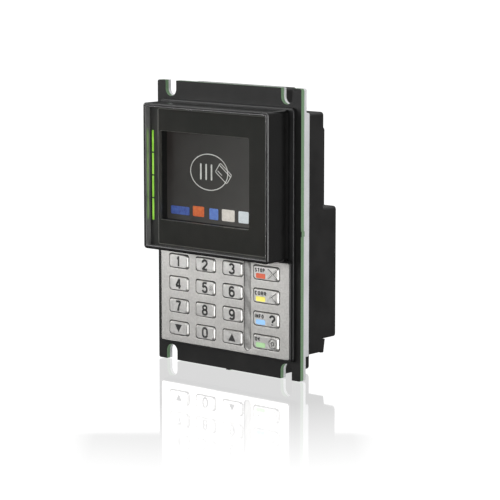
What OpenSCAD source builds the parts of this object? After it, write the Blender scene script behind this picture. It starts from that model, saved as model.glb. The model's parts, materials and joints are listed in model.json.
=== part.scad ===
// Panel-mounted card payment terminal: a contactless reader head with a display stands over a
// steel key field, on a slotted mounting flange, with the electronics in a housing behind it.
// +X is to the customer's right, -Y faces the customer and +Z is up.
// The origin is the middle of the flange, on its front face.

/* [Flange] */
// Width of the flange
flange_w = 112; // [110:1:130]
// Height of the flange
flange_h = 168; // [168:1:190]
// Thickness of the black laminate board
board_t = 2.6; // [2.4:0.1:3.2]
// Thickness of the aluminium mounting plate
plate_t = 2; // [1.5:0.1:3]
// Thickness of the chassis frame
chassis_t = 3.2; // [3:0.1:5]
// Width of the stud slots
slot_w = 8.5; // [6.5:0.5:9]
// Depth of the stud slots from the flange's edge
slot_depth = 9.25; // [8:0.25:10]
// Distance of the stud slots from the centre line
slot_x = 45.2; // [44.8:0.1:46]

/* [Front body] */
// Width of the raised front body
body_w = 104; // [103:0.5:106]
// Height of the raised front body
body_h = 146; // [145:0.5:148]
// How far the key field's raised frame stands out of the flange
body_t = 3.7; // [3.4:0.1:5]
// How far the front body's base stands out of the flange, behind the reader head
base_t = 1.9; // [1.8:0.1:2.2]
// Depth of the shallow pocket in the flange that locates the front body
body_sink = 0.2; // [0.1:0.1:0.3]

/* [Reader head] */
// Width of the reader head
head_w = 97.8; // [97:0.2:100]
// Top edge of the reader head
head_top = 72; // [71.6:0.1:72.4]
// Bottom edge of the reader head
head_bottom = -14.4; // [-14.4:0.1:-13.8]
// Depth of the reader head from its gasket to its front
head_t = 17.9; // [17:0.1:18.5]
// Thickness of the clear window
window_t = 4; // [3:0.1:4.2]
// Width of the display's lit area
screen_w = 69.8; // [60:0.1:70.4]
// Height of the display's lit area
screen_h = 52.4; // [45:0.1:53]
// Sideways place of the display's centre
screen_x = -4.4; // [-4.6:0.1:-4]
// Height of the display's centre
screen_z = 29.5; // [29:0.1:30]
// Number of status light bars
bar_count = 4; // [4:1:4]

/* [Key field] */
// Height of the steel key panel above the flange's centre
panel_top = -15.6; // [-15.7:0.1:-15.5]
// Bottom edge of the steel key panel
panel_bottom = -71.8; // [-72:0.1:-71.6]
// Thickness of the steel key panel
panel_t = 1.2; // [1:0.1:1.3]
// Width of a number key's opening
key_w = 16.2; // [15:0.1:16.8]
// Width of a function key's opening
function_w = 20.3; // [19:0.1:20.6]
// Height of a key's opening
key_h = 8.7; // [8:0.1:9]
// Width of the channel between number and function keys
channel_w = 5.5; // [4:0.1:5.6]
// Depth of that channel
channel_depth = 0.7; // [0.3:0.1:0.8]
// Distance between number key columns
key_pitch_x = 21.45; // [21:0.05:21.5]
// Distance between key rows
key_pitch_z = 13.5; // [13:0.1:13.6]
// How far a key moves when it is pressed
key_travel = 0.8; // [0.4:0.1:0.8]

/* [Rear housing] */
// Width of the rear housing
housing_w = 100; // [99:0.5:101]
// Wall thickness of the plastic mouldings
wall = 2.2; // [2:0.1:2.5]
// Back face of the rear housing, behind the flange's front
housing_back = 26.7; // [26:0.1:28]
// Back face of the deep electronics box
box_back = 38.5; // [38:0.1:42]
// Free length of the earth stud
stud_free = 9; // [8:0.5:12]

/* [Hidden] */
$fn = 48;
EPS = 0.01;
FIT = 0.15;

// Planes from front to back, along Y
y_body = -body_t;
y_base = -base_t;
y_gasket = y_base - 0.4;
y_head = y_gasket - head_t;
y_mask = y_head + window_t;
y_mask_back = y_mask + 2;
y_board = y_mask_back + 0.7;
y_plate = board_t;
y_chassis = y_plate + plate_t;
y_housing = y_chassis + chassis_t;
y_main = 12;
y_main_back = y_main + 1.6;
cover_t = 1.3;
y_cover_back = housing_back + cover_t;
y_power = 20;

// Reader head
rim = 1.8;
head_bevel = 0.5;
head_wall = 2.3;
bar_w = 1.6;
bar_x = -44.7;
bar_gap = 0.8;
bar_zone_bottom = 2.5;
bar_h = 12.68;
bar_pitch = bar_h + bar_gap;
lcd_w = 76.9;
lcd_h = 63.9;
lcd_x = screen_x;
lcd_z = screen_z;
y_lcd = y_mask + 6.5;
head_bosses = [[-43.6, 67.2], [43.6, 67.2], [-43.6, -8.9], [43.6, -8.9]];

// Key field
frame_w = 103;
frame_top = -14.7;
frame_bottom = -72.6;
number_x = -35.7;
function_x = 33.3;
row_z = -22.9;
key_front = 0.8;
key_gap = 0.4;
key_lip = 0.45;
y_key = y_body - key_front;
y_key_lip = y_body + panel_t + 0.1;
y_key_back = y_key_lip + 0.9;
y_mat = y_key_back + key_travel + 0.2;
KEY_NAMES = [
    "key_1", "key_2", "key_3", "key_stop",
    "key_4", "key_5", "key_6", "key_clear",
    "key_7", "key_8", "key_9", "key_info",
    "key_down", "key_0", "key_up", "key_ok"
];
keyboard_screws = [for (x = [-47.3, 47.3], z = [-16.2, -42.4, -68.4]) [x, z]];

// Rear housing
housing_top = 69;
housing_bottom = -71.5;
neck_w = 78;
neck_top = 83.1;
neck_bottom = -83;
neck_top_back = 16;
cover_top = 60;
cover_bottom = 14.4;
box_top = 13.5;
box_bottom = -63.7;
housing_screws_at = [[-43, 64.5], [43, 64.5], [-43, -67.4], [43, -67.4]];
cover_screws_at = [[-43, 55], [43, 55], [-43, 19], [43, 19]];
box_screws_at = [[-44, 8.5], [44, 8.5], [-44, -58.5], [44, -58.5]];
spacers_at = [for (x = [-42, 42], z = [-49, 0, 50]) [x, z]];
chassis_screws_at = [for (x = [-52.4, 52.4], z = [-60, -12, 36, 62]) [x, z]];
earth_x = -20;
earth_z = 64.3;
network_x = -22;
network_z = 45;
usb_x = 0;
power_x = 22;

// ---- Shapes that repeat ----

// Stands an outline, drawn in X and Z, up as a slab between two planes along Y.
module slab(y_front, y_back) {
    translate([0, y_back, 0])
        rotate([90, 0, 0])
            linear_extrude(y_back - y_front)
                children();
}

// Rectangle with round corners between two opposite corner points.
module panel(x0, x1, z0, z1, r) {
    translate([x0 + r, z0])
        square([x1 - x0 - 2 * r, z1 - z0]);
    translate([x0, z0 + r])
        square([x1 - x0, z1 - z0 - 2 * r]);
    for (x = [x0 + r, x1 - r], z = [z0 + r, z1 - r])
        translate([x, z])
            circle(r);
}

// The same rectangle, centred on the X axis.
module wide(w, z0, z1, r) {
    panel(-w / 2, w / 2, z0, z1, r);
}

// Slab whose front edges are bevelled all round.
module bevelled(x0, x1, z0, z1, r, y_front, y_back, bevel) {
    hull() {
        slab(y_front + bevel, y_back)
            panel(x0, x1, z0, z1, r, $fn = 32);
        slab(y_front, y_back)
            panel(x0 + bevel, x1 - bevel, z0 + bevel, z1 - bevel, max(r - bevel, 0.4), $fn = 32);
    }
}

// Round rods along Y at a list of X, Z places.
module rods(places, r, y_front, y_back) {
    for (p = places)
        translate([p[0], y_back, p[1]])
            rotate([90, 0, 0])
                cylinder(r = r, h = y_back - y_front);
}

// Countersunk screws that are driven in from behind, with a cross recess.
module flat_screws(places, r, y_tip, y_back) {
    head = r * 0.9;
    for (p = places)
        translate([p[0], y_back, p[1]])
            rotate([90, 0, 0])
                difference() {
                    union() {
                        cylinder(r = r, h = y_back - y_tip);
                        cylinder(r1 = r * 1.9, r2 = r, h = head);
                    }
                    for (a = [0, 90])
                        rotate(a)
                            translate([-r, -r * 0.15, -EPS])
                                cube([2 * r, r * 0.3, head * 0.6]);
                }
}

// Hole for a countersunk screw.
module flat_holes(places, r, y_front, y_back) {
    rods(places, r + FIT, y_front, y_back + EPS);
    for (p = places)
        translate([p[0], y_back + EPS, p[1]])
            rotate([90, 0, 0])
                cylinder(r1 = r * 1.9 + FIT, r2 = r + FIT, h = r * 0.9 + FIT);
}

// Round-headed screws that are driven in from behind, with a cross recess.
module round_screws(places, r, y_tip, y_seat, head_h) {
    for (p = places)
        translate([p[0], y_seat, p[1]])
            difference() {
                union() {
                    rotate([90, 0, 0])
                        cylinder(r = r, h = y_seat - y_tip);
                    rotate([-90, 0, 0])
                        cylinder(r = r * 1.8, h = head_h);
                }
                for (a = [0, 90])
                    rotate([0, a, 0])
                        translate([-r, head_h * 0.5, -r * 0.15])
                            cube([2 * r, head_h, r * 0.3]);
            }
}

// Flat ribbon that follows a list of Y, Z points at a given place along X.
module ribbon(x0, x1, points) {
    translate([x0, 0, 0])
        rotate([90, 0, 90])
            linear_extrude(x1 - x0)
                polygon(points);
}

// ---- Mounting flange ----

// Full outline of the flange with its open stud slots.
module flange_outline() {
    difference() {
        wide(flange_w, -flange_h / 2, flange_h / 2, 1.2);
        for (x = [-slot_x, slot_x], s = [-1, 1]) {
            translate([x, s * (flange_h / 2 - slot_depth + slot_w / 2)])
                circle(slot_w / 2);
            translate([x - slot_w / 2, s > 0 ? flange_h / 2 - slot_depth + slot_w / 2 : -flange_h / 2 - 1])
                square([slot_w, slot_depth - slot_w / 2 + 1]);
        }
    }
}

// Window behind the key field, and the slots that let the two ribbons through.
module key_window() {
    wide(98.4, -71.2, -12.8, 1);
}

module ribbon_slots() {
    panel(-12, 12, -9, -4, 1);
}

module flange_board() {
    tab_w = 3;
    tab_out = 0.5;
    color([0.13, 0.13, 0.13])
        difference() {
            slab(0, y_plate)
                difference() {
                    union() {
                        flange_outline();
                        translate([-flange_w / 2 - tab_out, 0])
                            square([flange_w + 2 * tab_out, tab_w]);
                        translate([-tab_w / 2, -flange_h / 2 - tab_out])
                            square([tab_w, tab_w]);
                    }
                    key_window();
                    ribbon_slots();
                    for (p = head_bosses)
                        translate(p)
                            circle(3);
                }
            slab(-EPS, body_sink)
                wide(body_w + 2 * FIT, -body_h / 2 - FIT, body_h / 2 + FIT, 2 + FIT);
        }
}

module mounting_plate() {
    color([0.62, 0.62, 0.64])
        difference() {
            slab(y_plate, y_chassis)
                difference() {
                    flange_outline();
                    ribbon_slots();
                    panel(-12, 12, -62, -57, 1);
                    for (p = keyboard_screws)
                        translate(p)
                            circle(2.4);
                    for (p = head_bosses)
                        translate(p)
                            circle(3);
                }
            rods(chassis_screws_at, 1.5 + FIT, y_plate - EPS, y_chassis + EPS);
            rods(spacers_at, 1.5 + FIT, y_plate - EPS, y_chassis + EPS);
        }
}

// Rectangular frame behind the plate that the housing screws to.
module chassis_frame() {
    side = 8.2;
    end_h = 3.6;
    color([0.58, 0.58, 0.6])
        difference() {
            slab(y_chassis, y_housing)
                difference() {
                    wide(flange_w - 1, -70.5, 70, 1);
                    wide(flange_w - 1 - 2 * side, -70.5 + end_h, 70 - end_h, 2);
                    for (p = housing_screws_at)
                        translate(p)
                            circle(3.2);
                }
            flat_holes(chassis_screws_at, 1.5, y_chassis - EPS, y_housing);
        }
    color([0.58, 0.58, 0.6])
        slab(y_chassis, y_housing)
            for (p = housing_screws_at)
                translate(p)
                    difference() {
                        circle(4.4);
                        circle(1.5 + FIT);
                    }
}

module chassis_screws() {
    color("silver")
        flat_screws(chassis_screws_at, 1.5, y_plate + 0.1, y_housing);
}

// ---- Front body and reader head ----

module front_body() {
    post_r = 2;
    color([0.16, 0.16, 0.17])
        difference() {
            union() {
                bevelled(
                    -body_w / 2, body_w / 2, -body_h / 2, body_h / 2, 2, y_base, body_sink, 0.3
                );
                bevelled(
                    -frame_w / 2, frame_w / 2, frame_bottom, frame_top, 1.5, y_body, y_base + 0.5, 0.3
                );
                rods(
                    [for (x = [-1, 1], z = [-1, 1]) [lcd_x + x * 33, lcd_z + z * 27]],
                    post_r, y_lcd + 3.3, y_base + 1
                );
            }
            slab(y_body - EPS, y_body + panel_t)
                wide(100.8 + 2 * FIT, panel_bottom - FIT, panel_top + FIT, 1.5);
            slab(y_body, body_sink + EPS)
                wide(92, -69.4, -17.2, 1);
            slab(0, body_sink + EPS)
                key_window();
            slab(y_body - EPS, body_sink + EPS)
                ribbon_slots();
            rods(head_bosses, 1.5 + FIT, y_base - EPS, body_sink + EPS);
            rods(keyboard_screws, 1, -2.1, EPS);
        }
}

module head_gasket() {
    inset = 0.6;
    color([0.08, 0.08, 0.08])
        slab(y_gasket, y_base)
            difference() {
                wide(head_w - 2 * inset, head_bottom + inset, head_top - inset, 1.6);
                wide(head_w - 3.8, head_bottom + 1.9, head_top - 1.9, 1);
            }
}

module head_housing() {
    inner = head_w / 2 - head_wall;
    pocket = head_w / 2 - rim;
    color([0.1, 0.1, 0.11]) {
        difference() {
            bevelled(
                -head_w / 2, head_w / 2, head_bottom, head_top, 2, y_head, y_gasket,
                head_bevel
            );
            slab(y_head - EPS, y_mask_back)
                wide(2 * pocket, head_bottom + rim, head_top - rim, 1);
            slab(y_mask_back - EPS, y_gasket + EPS)
                wide(2 * inner, head_bottom + head_wall, head_top - head_wall, 1);
        }
        difference() {
            union() {
                rods(head_bosses, 2.6, y_board + 1.6, y_gasket);
                for (p = head_bosses)
                    slab(y_board + 1.6, y_gasket)
                        translate([p[0] > 0 ? p[0] : -inner, p[1] - 0.8])
                            square([inner - abs(p[0]), 1.6]);
            }
            rods(head_bosses, 1.25, y_board + 3, y_gasket + EPS);
        }
    }
}

module head_screws() {
    color("silver")
        round_screws(head_bosses, 1.25, y_board + 3.2, body_sink, 1.8);
}

module display_window() {
    color([0.3, 0.3, 0.32, 0.35])
        slab(y_head, y_mask)
            wide(head_w - 2 * rim - 0.1, head_bottom + rim + 0.05, head_top - rim - 0.05, 1);
}

// Black mask on the window's back, open over the display and the light bars.
module window_mask() {
    color([0.12, 0.12, 0.12])
        slab(y_mask, y_mask_back)
            difference() {
                wide(head_w - 2 * rim - 0.1, head_bottom + rim + 0.05, head_top - rim - 0.05, 1);
                panel(
                    screen_x - screen_w / 2, screen_x + screen_w / 2,
                    screen_z - screen_h / 2, screen_z + screen_h / 2, 1
                );
                bars(0.05);
            }
}

// Outline of the row of light bars, grown by a margin.
module bars(margin) {
    for (i = [0 : bar_count - 1])
        translate([bar_x - bar_w / 2 - margin, bar_zone_bottom + i * bar_pitch - margin])
            square([bar_w + 2 * margin, bar_h + 2 * margin]);
}

module status_light_bars() {
    color([0.55, 0.9, 0.2])
        slab(y_mask, y_mask_back + 0.1)
            bars(0);
}

module status_led_board() {
    color([0.1, 0.35, 0.15])
        slab(y_mask_back + 0.9, y_mask_back + 1.7)
            panel(-46.2, -43.9, bar_zone_bottom - 1, bar_zone_bottom + bar_count * bar_pitch, 0.3);
}

module status_leds() {
    led_w = 1.2;
    led_h = 2;
    color([0.95, 0.95, 0.8])
        slab(y_mask_back + 0.2, y_mask_back + 0.9)
            for (i = [0 : bar_count - 1], s = [0.27, 0.73])
                translate([bar_x + 0.1, bar_zone_bottom + i * bar_pitch + s * bar_h])
                    square([led_w, led_h], center = true);
}

// Board that carries the reader's antenna loops around the display.
module antenna_board() {
    color([0.05, 0.3, 0.15])
        slab(y_board, y_board + 0.8)
            difference() {
                panel(-43.6, 46.3, -11.2, 69, 1);
                panel(
                    screen_x - screen_w / 2 - 0.3, screen_x + screen_w / 2 + 0.3,
                    screen_z - screen_h / 2 - 0.3, screen_z + screen_h / 2 + 0.3, 1
                );
            }
}

module lcd_outline() {
    panel(lcd_x - lcd_w / 2, lcd_x + lcd_w / 2, lcd_z - lcd_h / 2, lcd_z + lcd_h / 2, 0.6);
}

module lcd_panel() {
    color([0.2, 0.18, 0.17])
        slab(y_lcd, y_lcd + 1.2)
            panel(
                lcd_x - lcd_w / 2 + 1, lcd_x + lcd_w / 2 - 1,
                lcd_z - lcd_h / 2 + 1, lcd_z + lcd_h / 2 - 1, 0.5
            );
}

// Pressed metal tray that holds the display panel on its backlight.
module lcd_frame() {
    skin = 0.5;
    color("silver")
        difference() {
            slab(y_lcd - skin, y_lcd + 3.3)
                lcd_outline();
            slab(y_lcd, y_lcd + 3.3 + EPS)
                panel(
                    lcd_x - lcd_w / 2 + skin, lcd_x + lcd_w / 2 - skin,
                    lcd_z - lcd_h / 2 + skin, lcd_z + lcd_h / 2 - skin, 0.4
                );
            slab(y_lcd - skin - EPS, y_lcd + EPS)
                panel(
                    screen_x - screen_w / 2 - 0.6, screen_x + screen_w / 2 + 0.6,
                    screen_z - screen_h / 2 - 0.6, screen_z + screen_h / 2 + 0.6, 0.5
                );
        }
}

module lcd_backlight() {
    color("white")
        slab(y_lcd + 1.2, y_lcd + 3.3)
            panel(
                lcd_x - lcd_w / 2 + 1, lcd_x + lcd_w / 2 - 1,
                lcd_z - lcd_h / 2 + 1, lcd_z + lcd_h / 2 - 1, 0.5
            );
}

// Flexible tail from the foot of the display to the main board.
module lcd_ribbon() {
    t = 0.3;
    y_top = y_lcd + 3.4;
    color([0.75, 0.45, 0.15])
        ribbon(-10, 10, [
            [y_top, 6], [y_top + t, 6], [y_top + t, -5 + t], [9, -5 + t],
            [9, -16], [y_main, -16], [y_main, -16 - t], [9 - t, -16 - t],
            [9 - t, -5], [y_top, -5]
        ]);
}

// ---- Key field ----

function key_column(i) = i % 4;
function key_is_function(i) = key_column(i) == 3;
function key_x(i) = key_is_function(i) ? function_x : number_x + key_column(i) * key_pitch_x;
function key_z(i) = row_z - floor(i / 4) * key_pitch_z;
function opening_w(i) = key_is_function(i) ? function_w : key_w;

module key_openings() {
    for (i = [0 : len(KEY_NAMES) - 1])
        panel(
            key_x(i) - opening_w(i) / 2, key_x(i) + opening_w(i) / 2,
            key_z(i) - key_h / 2, key_z(i) + key_h / 2, 1.8
        );
}

// Steel front of the key field, with a shallow channel between the number and function keys.
module keypad_panel() {
    channel_x = 18.6;
    channel_r = (pow(channel_w / 2, 2) + pow(channel_depth, 2)) / (2 * channel_depth);
    color([0.82, 0.81, 0.79])
        difference() {
            slab(y_body, y_body + panel_t)
                difference() {
                    wide(100.8, panel_bottom, panel_top, 1.4);
                    key_openings();
                }
            translate([channel_x, y_body + channel_depth - channel_r, panel_bottom + 1.8])
                cylinder(r = channel_r, h = panel_top - panel_bottom - 2.6);
        }
}

// Key cap, with the lip behind the panel that keeps it in.
module key(i) {
    half_w = opening_w(i) / 2 - key_gap;
    half_h = key_h / 2 - key_gap;
    color([0.76, 0.75, 0.73])
        translate([key_x(i), 0, key_z(i)]) {
            bevelled(-half_w, half_w, -half_h, half_h, 1.6, y_key, y_key_lip, 0.5);
            slab(y_key_lip, y_key_back)
                panel(
                    -half_w - key_gap - key_lip, half_w + key_gap + key_lip,
                    -half_h - key_gap - key_lip, half_h + key_gap + key_lip, 2
                );
        }
}

// Rubber sheet whose pads carry each key's push to the board, drawn in its pressed state.
module key_mat() {
    pad_up = 0.1;
    color([0.35, 0.35, 0.37]) {
        slab(y_mat, 0)
            wide(91.4, -69, -17.4, 1);
        slab(y_mat - pad_up, y_mat + EPS)
            for (i = [0 : len(KEY_NAMES) - 1])
                translate([key_x(i), key_z(i)])
                    circle(3);
    }
}

module keypad_board() {
    color([0.05, 0.3, 0.15])
        difference() {
            slab(0.1, 1.3)
                wide(96.8, -70.8, -13.2, 1);
            rods(keyboard_screws, 1 + FIT, 0, 1.4);
        }
}

module keypad_backing() {
    color("silver")
        difference() {
            slab(1.4, 2.4)
                difference() {
                    wide(96.8, -70.8, -13.2, 1);
                    panel(-12, 12, -62, -57, 1);
                }
            rods(keyboard_screws, 1 + FIT, 1.3, 2.5);
        }
}

module keypad_screws() {
    color("silver")
        round_screws(keyboard_screws, 0.95, -1.8, 2.4, 1.2);
}

module keypad_ribbon() {
    t = 0.3;
    color([0.75, 0.45, 0.15])
        ribbon(-10, 10, [
            [1.35, -60], [9, -60], [9, -52], [y_main, -52],
            [y_main, -52 + t], [9 - t, -52 + t], [9 - t, -60 + t], [1.35, -60 + t]
        ]);
}

// ---- Main electronics ----

module main_board() {
    color([0.05, 0.3, 0.15])
        slab(y_main, y_main_back)
            difference() {
                wide(92, -64, 62, 1.5);
                for (p = spacers_at)
                    translate(p)
                        circle(1.5 + FIT);
                for (p = housing_screws_at)
                    translate(p)
                        circle(4.6);
            }
}

// Threaded pillars that carry the main board, each with its screw through the board.
module board_spacers() {
    color("goldenrod")
        for (p = spacers_at)
            translate([p[0], y_main, p[1]])
                rotate([90, 0, 0])
                    cylinder(r = 2.9, h = y_main - y_chassis, $fn = 6);
    color("silver")
        round_screws(spacers_at, 1.5, y_main, y_main_back, 2);
}

// Tinned steel can over the secure processor.
module secure_shield() {
    skin = 0.4;
    color("silver")
        difference() {
            slab(y_main_back, y_main_back + 3.6)
                panel(-24, 18, -46, -10, 1);
            slab(y_main_back - EPS, y_main_back + 3.6 - skin)
                panel(-24 + skin, 18 - skin, -46 + skin, -10 - skin, 0.8);
        }
}

// Sockets for the small security cards, on the front of the main board.
module card_sockets() {
    color([0.15, 0.15, 0.15])
        difference() {
            slab(y_main - 2.4, y_main)
                for (x = [-36, -14, 18])
                    panel(x, x + 18, 26, 52, 0.5);
            slab(y_main - 1.6, y_main - 0.6)
                for (x = [-36, -14, 18])
                    panel(x + 1.2, x + 16.8, 28, 53, 0.3);
        }
}

// Coin cell in its holder, which keeps the security memory alive.
module backup_battery() {
    color([0.1, 0.1, 0.1])
        difference() {
            rods([[-26, 6]], 11.5, y_main - 4.4, y_main);
            rods([[-26, 6]], 10.1, y_main - 4.4 - EPS, y_main - 1);
        }
    color("silver")
        rods([[-26, 6]], 10, y_main - 4.2, y_main - 1);
}

module buzzer() {
    color([0.08, 0.08, 0.08])
        difference() {
            rods([[28, -2]], 6, y_main - 6.4, y_main);
            rods([[28, -2]], 1, y_main - 6.4 - EPS, y_main - 4);
        }
}

// Small switches that notice when the rear cover is opened.
module tamper_switches() {
    color([0.9, 0.88, 0.8])
        for (x = [-34, 34])
            translate([x - 3, y_main_back, 46])
                cube([6, 4, 6]);
    color([0.2, 0.2, 0.2])
        rods([[-34, 49], [34, 49]], 1.2, y_main_back + 4, housing_back);
}

// ---- Sockets in the rear cover ----

module network_socket() {
    w = 16;
    h = 14;
    color([0.75, 0.75, 0.77])
        difference() {
            slab(y_main_back, y_cover_back)
                panel(
                    network_x - w / 2, network_x + w / 2,
                    network_z - h / 2, network_z + h / 2, 0.5
                );
            slab(y_cover_back - 11, y_cover_back + EPS)
                panel(network_x - 6, network_x + 6, network_z - 4.5, network_z + 4.3, 0.3);
            slab(y_cover_back - 11, y_cover_back + EPS)
                panel(network_x - 3, network_x + 3, network_z - 6, network_z + 4, 0.3);
        }
}

module usb_socket() {
    w = 14.4;
    h = 7;
    skin = 0.6;
    color([0.75, 0.75, 0.77])
        difference() {
            slab(y_main_back, y_cover_back)
                panel(usb_x - w / 2, usb_x + w / 2, network_z - h / 2, network_z + h / 2, 0.6);
            slab(y_cover_back - 9, y_cover_back + EPS)
                panel(
                    usb_x - w / 2 + skin, usb_x + w / 2 - skin,
                    network_z - h / 2 + skin, network_z + h / 2 - skin, 0.3
                );
        }
    color("white")
        slab(y_cover_back - 9 - EPS, y_cover_back - 1)
            panel(usb_x - 5.5, usb_x + 5.5, network_z + 0.4, network_z + 2.2, 0.2);
}

module power_connector() {
    size = 11;
    color([0.92, 0.9, 0.85])
        difference() {
            slab(y_main_back, y_cover_back)
                panel(
                    power_x - size / 2, power_x + size / 2,
                    network_z - size / 2, network_z + size / 2, 0.4
                );
            slab(y_cover_back - 10, y_cover_back + EPS)
                for (x = [-1, 1], z = [-1, 1])
                    translate([power_x + x * 2.4 - 2, network_z + z * 2.4 - 2])
                        square(4);
        }
    color("gold")
        slab(y_cover_back - 10 - EPS, y_cover_back - 3)
            for (x = [-1, 1], z = [-1, 1])
                translate([power_x + x * 2.4 - 0.5, network_z + z * 2.4 - 0.5])
                    square(1);
}

// ---- Rear housing ----

// Outline of the housing with its narrower necks between the stud slots.
module housing_outline(grow) {
    wide(housing_w + 2 * grow, housing_bottom - grow, housing_top + grow, 2);
}

module rear_housing() {
    cavity_w = housing_w - 2 * wall;
    bottom_back = 27.7;
    color([0.17, 0.17, 0.18])
        difference() {
            union() {
                difference() {
                    union() {
                        slab(y_housing, housing_back)
                            housing_outline(0);
                        ribbon(-housing_w / 2, housing_w / 2, [
                            [housing_back - 1, box_bottom], [29, box_bottom], [bottom_back, housing_bottom],
                            [housing_back - 1, housing_bottom]
                        ]);
                        slab(y_chassis, neck_top_back)
                            wide(neck_w, housing_top - 3, neck_top, 2);
                        slab(y_chassis, bottom_back)
                            wide(neck_w, neck_bottom, housing_bottom + 3, 2);
                    }
                    slab(y_housing - EPS, housing_back - wall)
                        housing_outline(-wall);
                    slab(y_chassis - EPS, neck_top_back - wall)
                        wide(neck_w - 2 * wall, housing_top - 4, neck_top - wall, 1);
                    slab(y_chassis - EPS, bottom_back - wall)
                        wide(neck_w - 2 * wall, neck_bottom + wall, housing_bottom + 4, 1);
                    slab(y_chassis - EPS, y_housing + 0.1)
                        wide(flange_w, -70.6, 70.1, 1);
                }
                rods(concat(cover_screws_at, box_screws_at), 3.6, 17, housing_back);
                rods(housing_screws_at, 3.6, y_housing + 0.1, housing_back);
            }
            slab(housing_back - wall - 2, housing_back + EPS)
                wide(76, cover_bottom + 8, cover_top - 8, 2);
            slab(housing_back - wall - 2, housing_back + EPS)
                wide(78, box_bottom + 8, box_top - 8, 2);
            rods(housing_screws_at, 1.5 + FIT, y_housing, 31);
            rods(housing_screws_at, 3, housing_back - 2, 31);
            rods(concat(cover_screws_at, box_screws_at), 1.2, 18, housing_back + EPS);
            rods([[earth_x, earth_z]], 2 + FIT, housing_back - wall - 1, housing_back + EPS);
        }
    cavity_rib_x = cavity_w / 4;
    color([0.17, 0.17, 0.18])
        slab(y_housing + 8, housing_back - wall + EPS)
            for (x = [-cavity_rib_x, cavity_rib_x])
                translate([x - 0.8, cover_top + 3.2])
                    square([1.6, housing_top - cover_top - wall - 3.2 + EPS]);
}

module housing_screws() {
    color("silver")
        round_screws(housing_screws_at, 1.5, y_chassis + 0.2, housing_back - 2, 1.8);
}

module rear_cover() {
    color([0.15, 0.15, 0.16])
        difference() {
            slab(housing_back, y_cover_back)
                difference() {
                    wide(housing_w - 0.4, cover_bottom, cover_top, 1.5);
                    panel(network_x - 8.1, network_x + 8.1, network_z - 7.1, network_z + 7.1, 0.5);
                    panel(usb_x - 7.3, usb_x + 7.3, network_z - 3.6, network_z + 3.6, 0.5);
                    panel(power_x - 5.6, power_x + 5.6, network_z - 5.6, network_z + 5.6, 0.4);
                }
            flat_holes(cover_screws_at, 1.2, housing_back - EPS, y_cover_back);
        }
}

module cover_screws() {
    color("silver")
        flat_screws(cover_screws_at, 1.15, housing_back - 6, y_cover_back);
}

// Deep cover over the power electronics.
module rear_box() {
    color([0.17, 0.17, 0.18])
        difference() {
            union() {
                difference() {
                    slab(housing_back, box_back)
                        wide(housing_w, box_bottom, box_top, 2);
                    slab(housing_back - EPS, box_back - wall)
                        wide(housing_w - 2 * wall, box_bottom + wall, box_top - wall, 1.5);
                }
                rods(box_screws_at, 3.6, housing_back, box_back);
            }
            rods(box_screws_at, 1.2 + FIT, housing_back - EPS, box_back + EPS);
            rods(box_screws_at, 2.6, box_back - 4, box_back + EPS);
            for (i = [0 : 7])
                slab(box_back - wall - EPS, box_back + EPS)
                    panel(-24 + i * 6.5, -21.5 + i * 6.5, -38, -14, 1.2);
        }
}

module box_screws() {
    color("silver")
        round_screws(box_screws_at, 1.15, housing_back - 6, box_back - 4, 1.6);
}

module power_board() {
    color([0.1, 0.35, 0.15])
        slab(y_power, y_power + 1.6)
            difference() {
                wide(76, box_bottom + 9, box_top - 9, 1);
                panel(-9, 9, -50, -46, 0.5);
            }
}

module power_transformer() {
    color([0.75, 0.6, 0.2])
        slab(y_power + 1.6, y_power + 14)
            panel(-34, -12, -48, -26, 0.8);
    color([0.2, 0.2, 0.2])
        slab(y_power + 3.6, y_power + 12)
            panel(-35.5, -10.5, -44, -30, 1.5);
}

module power_capacitors() {
    color([0.1, 0.12, 0.3])
        rods([[4, -42], [16, -42], [28, -42]], 4.9, y_power + 1.6, y_power + 14);
}

// Earth stud on the chassis plate, with its nut and washer outside the housing.
module earth_stud() {
    y_tip = housing_back + 3.6 + stud_free;
    color("silver") {
        rods([[earth_x, earth_z]], 2, y_chassis, y_tip);
        rods([[earth_x, earth_z]], 4, housing_back, housing_back + 0.8);
        translate([earth_x, housing_back + 3.6, earth_z])
            rotate([90, 0, 0])
                cylinder(r = 4.04, h = 2.8 + EPS, $fn = 6);
    }
}

flange_board();
mounting_plate();
chassis_frame();
chassis_screws();
front_body();
head_gasket();
head_housing();
head_screws();
display_window();
window_mask();
status_light_bars();
status_led_board();
status_leds();
antenna_board();
lcd_panel();
lcd_frame();
lcd_backlight();
lcd_ribbon();
keypad_panel();
key_mat();
keypad_board();
keypad_backing();
keypad_screws();
keypad_ribbon();
main_board();
board_spacers();
secure_shield();
card_sockets();
backup_battery();
buzzer();
tamper_switches();
network_socket();
usb_socket();
power_connector();
rear_housing();
housing_screws();
rear_cover();
cover_screws();
rear_box();
box_screws();
power_board();
power_transformer();
power_capacitors();
earth_stud();
for (i = [0 : len(KEY_NAMES) - 1])
    key(i);
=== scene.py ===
"""Looks of a panel-mounted card payment terminal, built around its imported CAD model."""

import json
import math

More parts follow.
